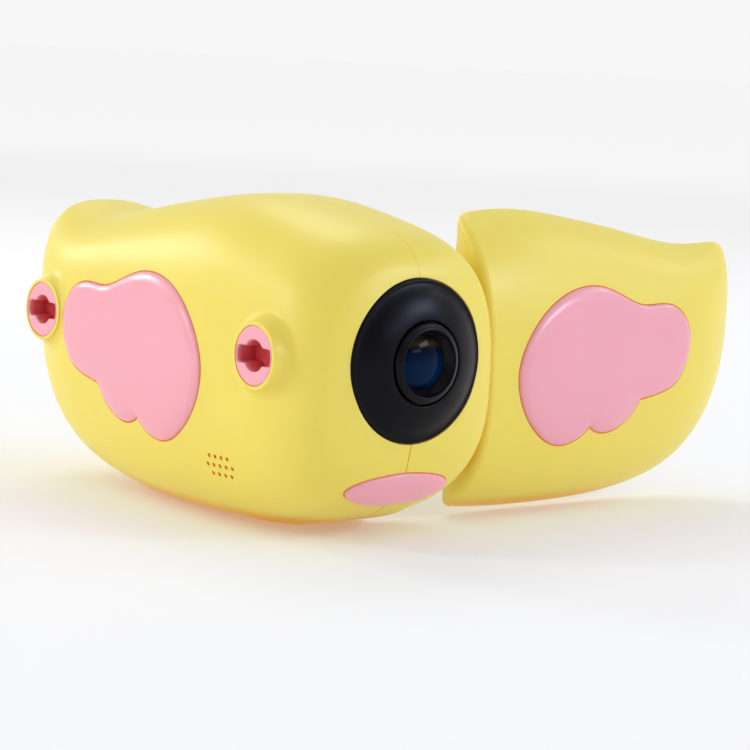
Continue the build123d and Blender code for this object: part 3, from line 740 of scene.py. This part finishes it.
# Painted shade: the floor's colour on the camera's side
FLOOR_PAINTED_SHADE = linear(214, 214, 216)
FLOOR_TURNS_DIM = (0.22, 0.7)            # reach on the camera's side, in metres
FLOOR_SIDE_GLOW = 0.8                    # share of the glow that is left there, as painted shade
FLOOR_GLOW_FROM_TO = (0.25, 1.8)         # distance over which the glow grows
FLOOR_GLOW = (0.16, 0.40)
SKY = 0.70
HORIZON = 0.93
HORIZON_BAND = (0.06, 0.22)              # upward part of the direction where the band fades
ROOM_SIDE = (0.0, 0.95)
ROOM_SIDE_LIGHT = 0.63                   # share of the room's light behind the camera
COOL = (0.72, 0.78, 1.0)
# Azimuth from +Y towards +X, elevation, width and height, watts and, if not white, colour.
SOFT_BOXES = {
    "left": (-80, 3, (0.45, 0.6), 2.2),
    "left_spot": (-58, 26, (0.14, 0.14), 1.5),
    "rear_spot": (-18, 22, (0.17, 0.17), 1.2),
    "overhead": (30, 50, (0.4, 0.4), 1.2),
    "right_strip": (102, 32, (0.36, 0.04), 0.5),
    "front_right": (141, 25, (0.4, 0.13), 2.7, COOL),
    "front_left": (164, 17, (0.34, 0.1), 0.7, COOL),
}
LIGHT_DISTANCE = 1.0


def stage_floor():
    """Pale table whose glow brightens it away from the object until it meets the room's white.

    Its colour and glow are painted slightly dimmer on the camera's side, as painted shade."""
    mesh = bpy.data.meshes.new("floor")
    build = bmesh.new()
    bmesh.ops.create_circle(build, cap_ends=True, radius=FLOOR_RADIUS, segments=96)
    build.to_mesh(mesh)
    build.free()
    floor = bpy.data.objects.new("floor", mesh)
    bpy.context.scene.collection.objects.link(floor)
    shader = Shader("floor", 0.9)
    nodes, links = shader.nodes, shader.links
    # Painted shade: the floor's colour and glow are made dimmer on the camera's side
    painted_side_shade = fall_off(nodes, links, shader.place, FLOOR_TURNS_DIM, 0.0, 1.0)
    shader.colour(painted_side_shade, FLOOR_NEAR, FLOOR_PAINTED_SHADE, 0.0, 1.0)
    shader.set(Emission_Color=WHITE, Specular_IOR_Level=0.0)
    side = fall_off(nodes, links, shader.place, FLOOR_TURNS_DIM, 1.0, FLOOR_SIDE_GLOW)
    glow = product(nodes, links, shader.distance(*FLOOR_GLOW_FROM_TO, *FLOOR_GLOW), side)
    links.new(glow, shader.bsdf.inputs["Emission Strength"])
    mesh.materials.append(shader.material)


def soft_box(name, azimuth, elevation, size, power, colour=(1, 1, 1)):
    """Rectangular light that faces the lens."""
    data = bpy.data.lights.new(name, "AREA")
    data.shape = "RECTANGLE"
    data.size, data.size_y = size
    data.energy = power
    data.color = colour
    light = bpy.data.objects.new(name, data)
    bpy.context.scene.collection.objects.link(light)
    turn, lift = radians(azimuth), radians(elevation)
    way = Vector((sin(turn) * cos(lift), cos(turn) * cos(lift), sin(lift)))
    light.location = centre("lens_ring") + way * LIGHT_DISTANCE
    light.rotation_euler = (-way).to_track_quat("-Z", "Y").to_euler()


def studio():
    """Soft white room, brighter at the horizon than overhead, and the soft boxes."""
    world = bpy.data.worlds.new("studio")
    bpy.context.scene.world = world
    world.use_nodes = True
    nodes, links = world.node_tree.nodes, world.node_tree.links
    direction = nodes.new("ShaderNodeTexCoord").outputs["Generated"]
    split = nodes.new("ShaderNodeSeparateXYZ")
    links.new(direction, split.inputs["Vector"])
    dim = nodes.new("ShaderNodeMapRange")
    dim.inputs["From Min"].default_value, dim.inputs["From Max"].default_value = HORIZON_BAND
    dim.inputs["To Min"].default_value = HORIZON
    dim.inputs["To Max"].default_value = SKY
    links.new(split.outputs["Z"], dim.inputs["Value"])
    background = nodes["Background"]
    background.inputs["Color"].default_value = WHITE
    side = fall_off(nodes, links, direction, ROOM_SIDE, 1.0, ROOM_SIDE_LIGHT)
    links.new(product(nodes, links, dim.outputs["Result"], side), background.inputs["Strength"])
    for name, settings in SOFT_BOXES.items():
        soft_box(name, *settings)
    bpy.context.scene.view_settings.view_transform = "Standard"
    bpy.context.scene.view_settings.look = "None"


CAMERA_LENS = 119.9                      # mm, on a 36 mm sensor
CAMERA_AZIMUTH = radians(-40.3)
CAMERA_ELEVATION = radians(7.3)
CAMERA_ROLL = radians(3.0)
CAMERA_DISTANCE = 0.4932
CAMERA_AIM = Vector((-6.1, 4.7, -3.1)) * MM      # from the middle of the lens ring's rim


def camera():
    """Three-quarter view from the front right of the bird, a little above it, rolled slightly."""
    data = bpy.data.cameras.new("camera")
    data.sensor_width = 36.0
    data.lens = CAMERA_LENS
    data.clip_start = 0.01
    aim = lens_middle() + CAMERA_AIM
    turn = Euler((pi / 2 - CAMERA_ELEVATION, 0, CAMERA_AZIMUTH)).to_matrix()
    turn = turn @ Matrix.Rotation(CAMERA_ROLL, 3, "Z")
    item = bpy.data.objects.new("camera", data)
    bpy.context.scene.collection.objects.link(item)
    back = turn @ Vector((0, 0, CAMERA_DISTANCE))
    item.matrix_world = Matrix.Translation(aim + back) @ turn.to_4x4()
    bpy.context.scene.camera = item


camera()
dress_cad_nodes()
inlays()
strap_sockets()
lens()
button_symbols()
stage_floor()
studio()
